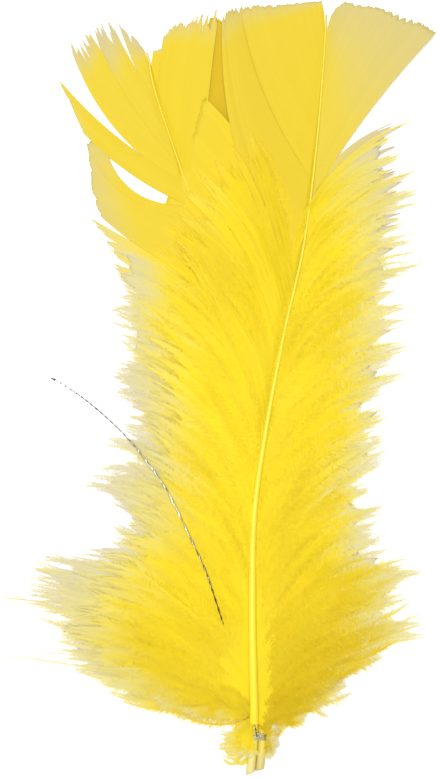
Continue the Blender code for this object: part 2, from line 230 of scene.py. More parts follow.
def dyed(name, roughness, gloss, see_through):
    """Dyed horn. Its chart goes from deep yellow to undyed along u, and from painted shade to painted light
    along v.
    """
    made = bpy.data.materials.new(name)
    made.use_nodes = True
    nodes, links = made.node_tree.nodes, made.node_tree.links
    shader, output = nodes["Principled BSDF"], nodes["Material Output"]
    place = place_on_chart(nodes, links)
    mixed = nodes.new("ShaderNodeMix")
    mixed.data_type = "RGBA"
    mixed.blend_type = "MULTIPLY"
    mixed.inputs["Factor"].default_value = 1.0
    links.new(ramp(nodes, links, place["X"], dye_fading), mixed.inputs["A"])
    links.new(ramp(nodes, links, place["Y"], shade_to_light), mixed.inputs["B"])
    links.new(mixed.outputs["Result"], shader.inputs["Base Color"])
    shader.inputs["Roughness"].default_value = roughness
    shader.inputs["Specular IOR Level"].default_value = gloss
    if see_through:
        glow = nodes.new("ShaderNodeBsdfTranslucent")
        paler = nodes.new("ShaderNodeMix")
        paler.data_type = "RGBA"
        paler.inputs["Factor"].default_value = 0.6
        links.new(mixed.outputs["Result"], paler.inputs["A"])
        paler.inputs["B"].default_value = (*lit_from_behind, 1.0)
        links.new(paler.outputs["Result"], glow.inputs["Color"])
        both = nodes.new("ShaderNodeMixShader")
        both.inputs["Fac"].default_value = see_through
        links.new(shader.outputs["BSDF"], both.inputs[1])
        links.new(glow.outputs["BSDF"], both.inputs[2])
        links.new(both.outputs["Shader"], output.inputs["Surface"])
    return made


def feather_shaft(name, line, slant, look, light=0.8):
    """A quill and shaft as one closed skin, cut at a slant, with a bore in the cut end.

    line holds x, y, z and the radius. light gives the painted light, v, low on the shaft, and the top of the
    tube is painted lighter than its underside. At the tip v is as on the web.
    """
    sides = 14
    bore_depth, bore_width = 2.5, 0.66
    light_of_web = 0.42
    rings = rings_along(line[:, :3], line[:, 3], sides)
    for i, leaning in enumerate((1.0, 0.5)):
        rings[i, :, 1] += leaning * slant * (rings[i, :, 0] - line[i, 0])
    middle = rings[0].mean(axis=0)
    mouth = middle + bore_width * (rings[0] - middle)
    bottom = mouth + (0.0, bore_depth, 0.0)
    points, faces = skin(np.concatenate([[bottom, mouth], rings]))

    share = np.append(np.repeat(np.linspace(0, 1, len(rings) + 2), sides), [0.0, 1.0])
    painted_top_light = np.sin(np.arange(sides) * 2 * np.pi / sides)
    painted_top_light = np.append(np.tile(painted_top_light, len(rings) + 2), [0.0, 0.0])
    bare_horn = np.exp(-((share * 9) ** 2))
    u = 0.08 + 0.5 * bare_horn + 0.06 * share
    # Painted light: the top of the tube is painted lighter and its underside darker.
    v = light + 0.14 * painted_top_light + (light_of_web - light) * share**2 - 0.2 * bare_horn
    made = piece(name, points, faces, look, np.stack([u, v], axis=-1))
    made.data.shade_smooth()
    return made


back_shaft = smooth_line(
    [
        (7.0, -68.6, 1.4, 0.78),
        (7.46, -64.0, 1.4, 0.80),
        (7.56, -61.2, 1.4, 0.80),
        (7.4, -58.0, 1.35, 0.72),
        (6.0, -48.6, 1.25, 0.68),
        (4.7, -34.0, 1.25, 0.60),
        (3.0, -12.0, 1.25, 0.48),
        (0.7, 7.2, 1.15, 0.36),
        (-3.1, 27.0, 1.0, 0.26),
        (-7.2, 39.8, 1.5, 0.22),
        (-11.7, 53.1, 2.4, 0.20),
        (-13.3, 60.7, 3.2, 0.18),
    ],
    150,
)
shaft_look = dyed("dyed shaft", 0.4, 0.3, 0.0)
back_quill = feather_shaft("back_shaft", back_shaft, 0.35, shaft_look, 0.5)
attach(back_quill, "root")
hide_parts("back_feather")


# The back feather's web: flat barbs that grip each other side by side into a sheet, split where the grip has
# been lost. The barbs' free ends make a ragged edge, and the dye has left a pale band along it.
def curl(y):
    """How far the feathers have lifted off the table at y."""
    return 0.0012 * np.maximum(0.0, y - 15.0) ** 2


def back_level(x, y):
    """Height of the back feather's web."""
    return 0.9 + curl(y)


def barbs_between(shaft, guides, place, share, reach, ends=None):
    """Barbs' centre lines, flat, as barbs x points x 2. A guide is a barb's root y, bow, tip x and tip y.

    place says between which guides a barb's root is, and ends says it of its tip, where that is elsewhere.
    """
    guides = np.array(guides, float)
    count = np.arange(len(guides))
    root_y, bow = (np.interp(place, count, column) for column in guides.T[:2])
    tip_x, tip_y = (np.interp(place if ends is None else ends, count, column) for column in guides.T[2:])
    root = np.stack([np.interp(root_y, shaft[:, 1], shaft[:, 0]), root_y], axis=-1)
    side = np.sign(tip_x - root[:, 0])[:, None]
    root[:, 0] += 0.8 * side[:, 0] * np.interp(root_y, shaft[:, 1], shaft[:, 3])
    along = np.stack([tip_x, tip_y], axis=-1) - root
    lean = root + along / 2 + bow[:, None] * side * np.stack([-along[:, 1], along[:, 0]], axis=-1)
    tip = root + along
    root, lean, tip = root[:, None], lean[:, None], tip[:, None]
    s = (share * reach[:, None])[..., None]
    return root * (1 - s) ** 2 + lean * 2 * s * (1 - s) + tip * s**2


def sheet_faces(columns, rows):
    """The top, bottom and rim of a thin closed sheet, as quads. They point outwards left of a shaft."""
    column, row = np.meshgrid(np.arange(columns - 1), np.arange(rows - 1), indexing="ij")
    a = column * rows + row
    top = np.stack([a, a + 1, a + rows + 1, a + rows], axis=-1).reshape(-1, 4)
    below = columns * rows
    bottom = top[:, ::-1] + below
    edge = np.concatenate(
        [
            np.arange(columns) * rows,
            (columns - 1) * rows + np.arange(rows),
            np.arange(columns)[::-1] * rows + rows - 1,
            np.arange(rows)[::-1],
        ]
    )
    edge = edge[np.append(True, edge[1:] != edge[:-1])]
    rim = np.stack([edge[:-1], edge[1:], edge[1:] + below, edge[:-1] + below], axis=-1)
    return np.vstack([top, bottom, rim])


def web(
    name,
    shaft,
    guides,
    height,
    look,
    seed,
    count,
    lift=0.0,
    light=0.5,
    ragged=0.03,
    pale=(0.1, 0.6, 0.9),
    streaks=0.1,
    fold_shade=0.0,
    length=1.0,
):
    """A sheet of count barbs between the guides, lift above height(x, y). light scales v.

    pale gives u at the root, u at the tip, and where along a barb it starts to change. ragged and streaks
    say how much the barbs differ in length and in shade. fold_shade is painted shade that darkens the side
    of the first barbs, where the web is creased. length is how far along the guides the barbs reach.
    """
    rng = np.random.default_rng(seed)
    rows, thickness, ridge_height = 30, 0.08, 0.03
    tooth, streak = 7, 5
    columns = 2 * count + 1
    each = np.arange(columns)
    ridge = each % 2

    # The free ends differ a little from barb to barb, and stand in uneven teeth a few barbs wide.
    teeth = np.arange(0, columns + tooth, tooth)
    depth = rng.random(len(teeth)) * (np.arange(len(teeth)) % 2)
    reach = length + 0.5 * ragged * (rng.random(columns) - 0.5) * (0.4 + ridge)
    reach = reach - ragged * np.interp(each, teeth, depth)

    # Each barb has a ridge along it, and leaves the shaft at the shaft's own height.
    share = np.linspace(0, 1, rows)[None, :]
    flat = barbs_between(shaft, guides, np.linspace(0, len(guides) - 1, columns), share, reach)
    z = height(flat[..., 0], flat[..., 1]) + lift
    shaft_z = np.interp(flat[..., 1], shaft[:, 1], shaft[:, 2])
    away = np.clip(share * 6, 0, 1)
    z = z * away + shaft_z * (1 - away) + ridge_height * ridge[:, None]
    top = np.dstack([flat, z])
    bottom = top - (0.0, 0.0, thickness)
    faces = sheet_faces(columns, rows)
    if flat[:, -1, 0].mean() > flat[:, 0, 0].mean():
        faces = faces[:, ::-1]

    # The colour: streaks a few barbs wide, painted shade in the furrows between the ridges and along the
    # first barbs where the web is creased, and the dye's pale ends.
    spots = np.arange(0, columns + streak, streak)
    tone = 1.0 - streaks * np.interp(each, spots, rng.random(len(spots)))
    v = tone[:, None] - 0.03 * (1 - ridge)[:, None] - 0.02 * share
    # Painted shade: fold_shade darkens the side of the first barbs, as in the shadow of a crease.
    v = v - fold_shade * np.exp(-each / 3)[:, None] * np.sin(np.pi * share**3)
    root_u, tip_u, start = pale
    faded = np.clip((share * reach[:, None] - start) / (1.02 - start), 0, 1) ** 0.7
    u = root_u + 0.05 * share + (tip_u - root_u) * faded
    places = np.dstack([u, v * light * np.ones_like(u)]).reshape(-1, 2)
    points = np.vstack([top.reshape(-1, 3), bottom.reshape(-1, 3)])
    made = piece(name, points, faces, look, np.vstack([places, places]))
    made.data.shade_smooth()
    return made


web_look = dyed("dyed web", 0.6, 0.12, 0.08)
back_webs = {
    "left_inner": (
        [
            (58.5, 0.0, -13.8, 61.2),
            (56.0, 0.0, -14.8, 62.6),
            (53.5, -0.03, -16.6, 64.4),
            (49.0, -0.06, -18.8, 66.8),
        ],
        dict(count=34, ragged=0.2, pale=(0.11, 0.8, 0.5)),
    ),
    "left_middle": (
        [(52.0, -0.05, -19.6, 65.9), (48.5, -0.08, -20.6, 66.4), (41.0, -0.1, -23.0, 64.6)],
        dict(count=30, lift=0.1, ragged=0.2, pale=(0.11, 0.8, 0.6)),
    ),
    "left_outer": (
        [(48.0, -0.06, -23.8, 64.4), (42.0, -0.12, -25.5, 62.5), (37.0, -0.2, -27.2, 61.9)],
        dict(count=40, ragged=0.14, pale=(0.1, 0.7, 0.78)),
    ),
    "left_second": (
        [
            (37.8, -0.1, -29.5, 56.3),
            (37.0, -0.09, -28.3, 53.8),
            (35.5, -0.09, -27.2, 51.7),
            (33.0, -0.11, -25.0, 46.5),
        ],
        dict(count=34, lift=0.1, pale=(0.08, 0.35, 0.85)),
    ),
    "left_third": (
        [
            (33.5, -0.45, -21.5, 46.5),
            (31.0, -0.32, -24.3, 44.5),
            (30.0, -0.18, -23.9, 41.4),
            (28.0, -0.12, -23.5, 38.4),
            (25.5, -0.07, -23.4, 35.8),
            (23.5, -0.07, -22.3, 32.6),
            (19.5, -0.1, -21.6, 31.2),
        ],
        dict(count=44, pale=(0.1, 0.5, 0.6)),
    ),
    "left_fourth": (
        [
            (18.5, 0.0, -23.4, 31.0),
            (17.0, 0.0, -21.0, 27.6),
            (13.0, 0.0, -19.6, 24.6),
            (9.0, 0.02, -19.0, 21.0),
            (5.0, 0.05, -17.0, 17.5),
        ],
        dict(count=44, lift=-0.1, ragged=0.2, light=0.7, pale=(0.1, 0.5, 0.5)),
    ),
    "right": (
        [
            (58.0, 0.0, -12.2, 61.0),
            (54.0, 0.04, -10.3, 61.4),
            (51.5, 0.06, -10.4, 63.4),
            (49.0, 0.07, -9.0, 65.0),
            (46.0, 0.08, -7.4, 66.2),
            (42.5, 0.08, -4.9, 66.3),
            (40.0, 0.06, -3.6, 67.9),
            (37.0, 0.05, -2.4, 67.2),
            (31.0, 0.02, -0.3, 68.2),
        ],
        dict(count=80, lift=0.3, ragged=0.1, pale=(0.05, 0.55, 0.82)),
    ),
    # Painted shadow: right_shaded lies under the front web and is painted dark, with light 0.2.
    "right_shaded": (
        [(34.0, 0.04, -2.0, 67.0), (26.0, 0.0, 3.5, 66.0), (8.0, -0.1, 9.0, 56.0)],
        dict(count=50, lift=-0.2, light=0.2, pale=(0.0, 0.1, 0.9)),
    ),
}
for i, (side, (guides, look_of_it)) in enumerate(back_webs.items()):
    made = web(f"back_web_{side}", back_shaft, guides, back_level, web_look, 20 + i, **look_of_it)
    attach(made, "root")
    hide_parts("back_feather")


# The back feather's down: long limp barbs that don't grip each other, each fringed with finer barbules. They
# keep apart and stand at all angles, which is what makes down fluffy. The dye is weakest at their ends.
def patches(rng, count, stations, across, along):
    """Smooth random numbers from -1 to 1 over count barbs x stations, in patches of that many barbs."""
    grid = rng.uniform(-1, 1, (count // across + 2, along))
    place = np.arange(count) / across
    low = place.astype(int)
    part = (place - low)[:, None]
    part = part * part * (3 - 2 * part)
    rows = grid[low] * (1 - part) + grid[low + 1] * part
    spots = np.linspace(0, along - 1, stations)
    return np.array([np.interp(spots, np.arange(along), row) for row in rows])


def dye_and_painted_shade_of_down(rng, tufts, tuft, share, reach, pale, weakest, light):
    """The painted light and shade, tone, and how faded the dye is, faded, each over barbs x stations. tuft is
    the tuft of each barb.
    """
    count, stations = len(reach), share.shape[1]
    tone = 0.89 + 0.2 * patches(rng, count, stations, 14, 7) + rng.uniform(-0.03, 0.0, (count, 1))
    tone = tone + 0.05 * rng.uniform(-1, 1, (len(tufts), 1))[tuft]
    # Painted shade: the down is darkened beside the shaft, where it stands up on both sides of it, and light
    # scales the painted light.
    painted_shade_by_shaft = 1 - np.clip(share * 6, 0, 1)
    tone = (tone - 0.42 * painted_shade_by_shaft) * light
    start = pale + 0.1 * rng.uniform(-1, 1, (len(tufts), 1))[tuft] + 0.1 * rng.uniform(-1, 1, (count, 1))
    faded = np.clip((share * reach[:, None] - start) / (1.0 - start), 0, 1)
    faded = weakest * faded**0.85 + 0.04 + 0.04 * patches(rng, count, stations, 10, 7)
    tone = tone + (0.97 - tone) * np.clip(faded * 1.5, 0, 1)
    return tone, faded


def stems(line, across, above, share, tone, faded, fringe):
    """The barbs' stems: two narrow strips that make a ridge, over a broad one for the fluff beside it."""
    row_step, fluff_depth, stem_fading, fluff_fading = 8, 0.05, 0.45, 1.0
    rows = np.arange(0, line.shape[1], row_step)
    stem, across, above = line[:, rows], across[:, rows], above[:, rows]
    thick = (0.07 * (1 - 0.8 * share[0, rows]) + 0.02)[None, :, None]
    taper = np.clip(share * 5, 0.35, 1) * np.clip((0.99 - share) * 8, 0.03, 1)
    broad = 0.12 * fringe * taper[:, rows, None]
    ridge = stem + thick * above
    under = stem - fluff_depth * above
    strips = (
        (stem - thick * across, ridge, stem_fading),
        (ridge, stem + thick * across, stem_fading),
        (under - broad * across, under + broad * across, fluff_fading),
    )
    first = np.arange(len(line))[:, None] * len(rows) * 2 + np.arange(len(rows) - 1) * 2
    corners = np.stack([first, first + 1, first + 3, first, first + 3, first + 2], axis=-1).reshape(-1, 3)
    v = tone[:, rows, None] - np.array([0.03, 0.0])
    for left, right, fading in strips:
        u = fading * faded[:, rows, None] + 0.02 * share[:, rows, None] + np.zeros(2)
        points = np.stack([left, right], axis=2).reshape(-1, 3)
        yield points, np.stack([u, v], -1).reshape(-1, 2), corners


def barbules(rng, line, tangent, across, above, share, tone, faded, length):
    """The barbules on both sides of the barbs, one triangle each. They slant towards the barb's tip."""
    slant, spread, half_foot, lowest = 46, 20, 0.12, 0.1
    shape = line.shape[:2]
    foot = half_foot * tangent
    for hand in (-1, 1):
        angle = np.radians(rng.normal(slant, spread, shape) - 12 * share)
        grown = length * rng.uniform(0.6, 1.25, shape)
        out = np.cos(angle)[..., None] * tangent + hand * np.sin(angle)[..., None] * across
        tip = line + grown[..., None] * (out + rng.normal(0, 0.1, shape)[..., None] * above)
        corners = np.stack([line - foot, line + foot, tip], axis=2)
        corners[..., 2] = np.maximum(corners[..., 2], lowest)
        v = tone + rng.uniform(-0.03, 0.0, shape)
        u = np.stack([faded, faded, faded + 0.02 + 0.1 * faded], axis=2)
        v = np.stack([v, v + 0.02, v + 0.01], axis=2)
        points = corners.reshape(-1, 3)
        yield points, np.stack([u, v], -1).reshape(-1, 2), np.arange(len(points)).reshape(-1, 3)


def joined(parts):
    """The points, places and faces of several parts as those of one mesh."""
    points, places, faces = zip(*parts)
    first = np.cumsum([0] + [len(x) for x in points[:-1]])
    faces = [corners + start for corners, start in zip(faces, first)]
    return np.vstack(points), np.vstack(places), np.vstack(faces)


def down(
    name,
    shaft,
    guides,
    count,
    level,
    look,
    seed,
    puff=0.4,
    fringe=1.9,
    pale=(0.62, 0.62),
    weakest=(0.9, 0.9),
    scatter=1.6,
    smooth=0.0,
    light=(1.0, 1.0),
    uneven=0.16,
    gather=0.8,
):
    """A side of the down: count barbs between the guides, round the height level(x, y), puff thick.

    fringe is the length of the barbules. pale is where along a barb the dye weakens, down to weakest at its
    end. The first barbs, that share of them that smooth gives, have short barbules, as they have next to the
    web. scatter is how far the barbs part, uneven how much shorter than the guides they may be, and gather
    how closely the tips of a tuft of barbs come together. light is painted light and shade: it scales v.
    pale, weakest and light hold values from the first guide to the last.
    """
    rng = np.random.default_rng(seed)
    stations, barbs_in_tuft, lowest = 132, 9, 0.25
    share = np.linspace(0.0, 1.0, stations)[None, :]
    order = np.linspace(0, 1, count)[:, None]

    # The tips gather in tufts on the guides, and in shorter ones between them.
    place = order[:, 0] * (len(guides) - 1) + rng.normal(0, 0.25, count)
    place = np.clip(place, 0, len(guides) - 1)
    tufts = np.linspace(0, len(guides) - 1, max(2 * len(guides) - 1, count // barbs_in_tuft))
    tuft = np.abs(place[:, None] - tufts).argmin(axis=1)
    ends = place + gather * (tufts[tuft] - place)
    shorter = 0.3 * rng.random(len(tufts)) + 0.7 * (np.arange(len(tufts)) % 2)
    reach = 1.05 - uneven * (shorter[tuft] + 0.3 * rng.random(count))

    # Half way along, the barbs part from each other and wave from side to side.
    fluffy = np.interp(order, (0.0, smooth + 0.001, 0.93, 1.0), (0.15, 1.0, 1.0, 0.5))
    flat = barbs_between(shaft, guides, place, share, reach, ends)
    apart = fluffy * share * (1.08 - share) * 2.2
    flat = flat + apart[..., None] * rng.normal(0, scatter, (count, 1, 2))
    ahead = unit(np.gradient(flat, axis=1))
    sideways = np.stack([-ahead[..., 1], ahead[..., 0]], axis=-1)
    wave = rng.normal(0, 0.9, (count, 1)) * np.sin(np.pi * share * rng.uniform(0.8, 2.6, (count, 1)))
    flat = flat + sideways * (fluffy * wave * share**0.5 * 1.2)[..., None]

    # They rise from the shaft to their level, some higher than others.
    rise = 0.25 * rng.uniform(-1, 1, (len(tufts), 1))[tuft] + 0.75 * rng.uniform(-1, 1, (count, 1))
    rise = rise * puff
    swell = np.sin(np.pi * np.clip(share, 0, 1) ** 0.8) ** 0.6 * 0.8 + 0.2
    root_z = np.interp(flat[:, :1, 1], shaft[:, 1], shaft[:, 2]) - 0.1
    away = np.clip(share * 4, 0, 1) ** 1.5
    z = (level(flat[..., 0], flat[..., 1]) + rise * swell) * away + root_z * (1 - away)
    line = np.dstack([flat, np.maximum(z, lowest)])
    tangent = unit(np.gradient(line, axis=1))
    roll = rng.normal(0, 0.3, count)[:, None, None]
    flat_across = unit(np.cross(tangent, (0.0, 0.0, 1.0)))
    flat_above = np.cross(flat_across, tangent)
    across = flat_across * np.cos(roll) + flat_above * np.sin(roll)
    above = flat_above * np.cos(roll) - flat_across * np.sin(roll)

    along_guides = [np.interp(order, np.linspace(0, 1, len(x)), x) for x in (pale, weakest, light)]
    tone, faded = dye_and_painted_shade_of_down(rng, tufts, tuft, share, reach, *along_guides)

    # The barbules are short beside the shaft and grow shorter again towards the tip.
    parts = list(stems(line, across, above, share, tone, faded, fringe))
    inner = slice(4, stations - 2)
    s = share[:, inner]
    length = fringe * fluffy * np.clip((s - 0.03) * 5, 0.1, 1) * np.clip((1.0 - s) * 5, 0.08, 1)
    fringed = [x[:, inner] for x in (line, tangent, across, above, share, tone, faded)]
    parts += barbules(rng, *fringed, length)
    points, places, faces = joined(parts)

    # Every face is turned up, and shaded as if it were level, so that the down looks soft.
    a, b, c = points[faces].transpose(1, 0, 2)
    down_facing = np.cross(b - a, c - a)[:, 2] < 0
    faces[down_facing] = faces[down_facing][:, ::-1]
    made = piece(name, points, faces, look, np.clip(places, 0.0, 1.0))
    made.data.shade_smooth()
    made.data.normals_split_custom_set_from_vertices(np.tile((0.0, 0.0, 1.0), (len(points), 1)))
    return made


def back_down_level(x, y):
    """Height of the back feather's down. It swells at the left of the shaft, and less near the web."""
    high = np.clip((x + 38) / 12, 0, 1) * np.clip((2 - x) / 10, 0, 1) * np.clip((26 - y) / 16, 0.2, 1)
    return 1.3 + 1.1 * high + 0.25 * curl(y)


down_look = dyed("dyed down", 0.8, 0.08, 0.22)
back_left_down = [
    (12.0, 0.2, -19.4, 25.4),
    (8.0, 0.24, -19.1, 20.9),
    (4.0, 0.28, -18.0, 19.4),
    (0.0, 0.3, -18.6, 15.8),
    (-3.0, 0.3, -19.2, 14.3),
    (-7.0, 0.3, -19.0, 8.8),
    (-12.0, 0.3, -19.0, 4.0),
    (-16.0, 0.3, -19.2, 1.7),
    (-19.0, 0.3, -18.6, -0.4),
    (-23.0, 0.3, -17.6, -4.4),
    (-27.0, 0.29, -17.6, -8.0),
    (-31.0, 0.28, -20.8, -9.4),
    (-34.0, 0.27, -21.5, -14.0),
    (-37.0, 0.26, -24.0, -15.9),
    (-39.5, 0.25, -22.6, -17.8),
    (-42.0, 0.24, -20.2, -20.0),
    (-45.0, 0.23, -19.4, -25.7),
    (-47.5, 0.22, -24.5, -29.7),
    (-49.0, 0.2, -19.5, -32.2),
    (-50.2, 0.18, -28.4, -31.0),
    (-51.4, 0.17, -31.6, -30.3),
    (-52.6, 0.16, -33.7, -32.3),
    (-53.8, 0.15, -34.2, -34.2),
    (-54.9, 0.14, -34.6, -36.2),
    (-55.8, 0.13, -34.2, -38.2),
    (-56.6, 0.12, -32.2, -41.0),
    (-57.3, 0.11, -30.4, -44.2),
    (-57.9, 0.1, -28.9, -46.4),
    (-58.4, 0.09, -27.0, -48.2),
    (-58.9, 0.08, -27.4, -50.4),
    (-59.3, 0.06, -20.5, -52.8),
    (-59.7, 0.04, -17.8, -55.2),
    (-59.0, 0.2, -11.8, -57.4),
    (-58.8, 0.3, -7.4, -59.2),
]
back_right_down = [
    (20.0, 0.2, 12.0, 34.0),
    (8.0, 0.2, 18.0, 22.0),
    (-4.0, 0.2, 20.0, 9.0),
    (-16.0, 0.2, 22.0, -4.0),
    (-28.0, 0.15, 23.0, -16.0),
    (-39.0, 0.1, 25.0, -28.0),
    (-48.0, 0.1, 27.0, -38.0),
    (-55.0, 0.05, 23.0, -49.0),
]

# The down is thickest near the shaft, where nothing shows through it. A sheet of barbs fills it there.
bed = dict(count=110, lift=-0.1, light=0.95, ragged=0.2, streaks=0.12)
back_down = [
    web(
        "back_down_bed_left",
        back_shaft,
        back_left_down,
        back_down_level,
        down_look,
        43,
        pale=(0.03, 0.85, 0.55),
        length=0.9,
        **bed,
    ),
    down(
        "back_down_left",
        back_shaft,
        back_left_down,
        440,
        back_down_level,
        down_look,
        41,
        pale=(0.55, 0.45, 0.42, 0.55),
        weakest=(0.85, 1.0, 0.65),
        smooth=0.1,
        light=(0.95, 1.0, 1.0, 0.9, 0.65),
    ),
    down("back_down_right", back_shaft, back_right_down, 180, back_down_level, down_look, 42),
]
for made in back_down:
    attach(made, "root")
    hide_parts("back_feather")


# The front feather's quill and shaft: a horn tube like the back one's, and a little thicker. It lies on the
# back feather, and the two quills are tied together.
front_shaft = smooth_line(
    [
        (5.3, -69.2, 1.5, 0.84),
        (5.75, -64.0, 1.5, 0.88),
        (5.85, -61.2, 1.5, 0.88),
        (5.95, -57.5, 2.8, 0.84),
        (5.75, -50.0, 3.7, 0.80),
        (5.6, -38.0, 4.0, 0.75),
        (5.9, -23.0, 4.0, 0.62),
        (7.9, -8.0, 4.3, 0.48),
        (11.2, 9.7, 4.1, 0.33),
        (14.8, 25.7, 3.8, 0.26),
        (17.0, 42.5, 3.6, 0.22),
        (18.3, 58.0, 4.9, 0.20),
        (18.8, 67.0, 5.8, 0.18),
    ],
    170,
)
front_quill = feather_shaft("front_shaft", front_shaft, 0.5, shaft_look)
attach(front_quill, "root")
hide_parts("front_feather")


# The front feather's web: barbs that grip each other, as in the back one. A small lobe has split off at its
# left and lies on the back feather's web, and there is a notch at the shaft's tip.
def layer(x):
    """Height of the surface between the two feathers."""
    return 2.6 - 0.035 * x


def front_level(x, y):
    """Height of the front feather's web."""
    return layer(x) + 0.75 + curl(y)


def fan_level(x, y):
    """Height of the lobe. Its left side lies on the back web, and its right side is level with the front."""
    low = back_level(x, y) + 0.2 - 0.3 * np.clip((-x - 5) / 3, 0, 1)
    return low + (front_level(x, y) - low) * np.clip((x + 6) / 9, 0, 1)


front_webs = {
    "right": (
        [
            (64.0, 0.0, 19.6, 66.8),
            (60.0, 0.05, 20.4, 68.2),
            (56.0, 0.08, 22.0, 69.3),
            (52.0, 0.08, 25.2, 68.7),
            (46.0, 0.08, 28.8, 68.2),
            (41.0, 0.08, 32.1, 67.0),
            (37.0, 0.08, 35.0, 66.0),
            (34.5, 0.06, 38.7, 64.1),
        ],
        dict(count=120, pale=(0.2, 0.55, 0.3)),
    ),
    "right_below": (
        [
            (26.5, 0.35, 32.0, 48.4),
            (21.5, 0.36, 31.0, 46.5),
            (15.0, 0.36, 31.0, 41.5),
            (9.0, 0.36, 32.0, 35.5),
            (3.0, 0.36, 30.0, 28.0),
            (-4.0, 0.36, 28.0, 20.0),
        ],
        dict(count=90, ragged=0.16, light=0.55, pale=(0.2, 0.85, 0.5), streaks=0.12),
    ),
    "left": (
        [
            (64.0, 0.0, 18.4, 67.2),
            (61.0, 0.0, 18.0, 69.4),
            (52.0, -0.03, 12.2, 68.9),
            (42.0, -0.09, 5.5, 68.4),
            (36.0, -0.12, 3.2, 68.5),
        ],
        dict(count=110, light=0.46, pale=(0.08, 0.55, 0.87)),
    ),
    "left_edge": (
        [
            (38.0, -0.12, 3.4, 68.3),
            (31.0, -0.14, 2.0, 68.0),
            (24.0, -0.15, 0.9, 67.5),
            (19.0, -0.16, 0.2, 66.6),
        ],
        dict(count=40, lift=0.04, light=0.46, pale=(0.08, 0.55, 0.87), streaks=0.2, fold_shade=0.5),
    ),
    "left_fan": (
        [
            (25.0, 0.12, -2.9, 52.6),
            (22.5, 0.1, -3.4, 52.0),
            (18.0, 0.1, -4.2, 48.6),
            (14.0, 0.12, -5.8, 44.6),
            (9.0, 0.14, -7.4, 40.5),
            (4.0, 0.16, -8.8, 36.9),
            (-2.0, 0.2, -10.5, 33.0),
            (-8.0, 0.22, -12.0, 28.0),
        ],
        dict(count=110, lift=-0.1, ragged=0.02, light=0.58, pale=(0.03, 0.1, 0.9), streaks=0.15),
    ),
}
for i, (side, (guides, look_of_it)) in enumerate(front_webs.items()):
    level = fan_level if side == "left_fan" else front_level
    made = web(f"front_web_{side}", front_shaft, guides, level, web_look, 60 + i, **look_of_it)
    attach(made, "root")
    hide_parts("front_feather")


# The front feather's down. Its highest barbs, just below the web, are half way between the two: straighter,
# and apart from each other.
def front_down_level(x, y):
    """Height of the front feather's down. It sinks at the left, at the tie and where it meets the webs."""
    high = layer(x) + 1.7 - 1.7 * np.clip((-x - 4) / 11, 0, 1) + 0.3 * curl(y)
    high = high - 0.9 * np.clip((-46 - y) / 10, 0, 1)
    return high + (fan_level(x, y) + 0.4 - high) * np.clip((y - 8) / 14, 0, 1)


front_right_down = [
    (18.5, 0.36, 35.6, 48.8),
    (17.0, 0.36, 31.0, 45.6),
    (15.3, 0.36, 32.0, 42.3),
    (13.5, 0.36, 30.6, 39.6),
    (11.5, 0.36, 35.3, 39.2),
    (9.5, 0.36, 35.8, 36.5),
    (7.5, 0.36, 34.4, 34.5),
    (4.0, 0.36, 33.6, 30.6),
    (0.5, 0.36, 34.9, 27.0),
    (-3.5, 0.36, 36.0, 22.2),
    (-7.0, 0.36, 31.4, 18.4),
    (-10.5, 0.36, 34.4, 15.3),
    (-13.5, 0.36, 33.2, 12.4),
    (-17.5, 0.36, 34.4, 8.4),
    (-20.5, 0.36, 31.2, 5.6),
    (-23.5, 0.35, 34.0, 2.9),
    (-26.5, 0.34, 29.9, -0.6),
    (-29.5, 0.33, 31.0, -4.1),
    (-32.0, 0.32, 29.0, -6.8),
    (-34.5, 0.31, 29.9, -9.0),
    (-37.0, 0.3, 29.2, -12.8),
    (-40.0, 0.28, 26.8, -16.9),
    (-43.0, 0.26, 29.0, -21.0),
    (-46.0, 0.24, 27.2, -25.6),
    (-48.0, 0.22, 29.0, -28.6),
    (-50.0, 0.2, 32.9, -31.3),
    (-51.2, 0.18, 37.0, -32.0),
    (-52.4, 0.16, 32.4, -33.6),
    (-53.5, 0.15, 33.7, -36.6),
    (-54.6, 0.14, 29.8, -39.6),
    (-55.5, 0.12, 33.5, -41.8),
    (-56.3, 0.11, 36.5, -42.2),
    (-57.0, 0.1, 29.9, -44.8),
    (-57.7, 0.08, 28.8, -47.9),
    (-58.2, 0.06, 23.6, -49.3),
    (-58.7, 0.04, 22.6, -52.5),
    (-59.2, 0.02, 18.4, -56.0),
    (-59.7, 0.0, 14.8, -58.5),
    (-60.2, 0.0, 10.6, -61.0),
]
front_left_down = [
    (19.0, 0.05, 5.0, 47.0),
    (14.0, 0.1, 0.0, 43.0),
    (8.0, 0.2, -4.6, 39.5),
    (3.0, 0.26, -7.4, 34.0),
    (-3.0, 0.3, -11.6, 29.5),
    (-9.0, 0.32, -14.4, 23.5),
    (-16.0, 0.33, -15.5, 16.0),
    (-23.0, 0.33, -14.5, 8.0),
    (-30.0, 0.32, -13.5, 0.0),
    (-36.0, 0.3, -14.5, -8.0),
    (-42.0, 0.28, -16.0, -16.0),
    (-47.0, 0.25, -18.0, -24.0),
    (-51.0, 0.22, -22.0, -31.0),
    (-54.0, 0.18, -26.5, -37.0),
    (-56.5, 0.14, -28.0, -43.5),
    (-57.6, 0.14, -22.0, -50.5),
    (-57.8, 0.24, -12.0, -56.5),
    (-58.0, 0.32, -3.0, -58.8),
    (-58.4, 0.36, 1.0, -57.6),
]
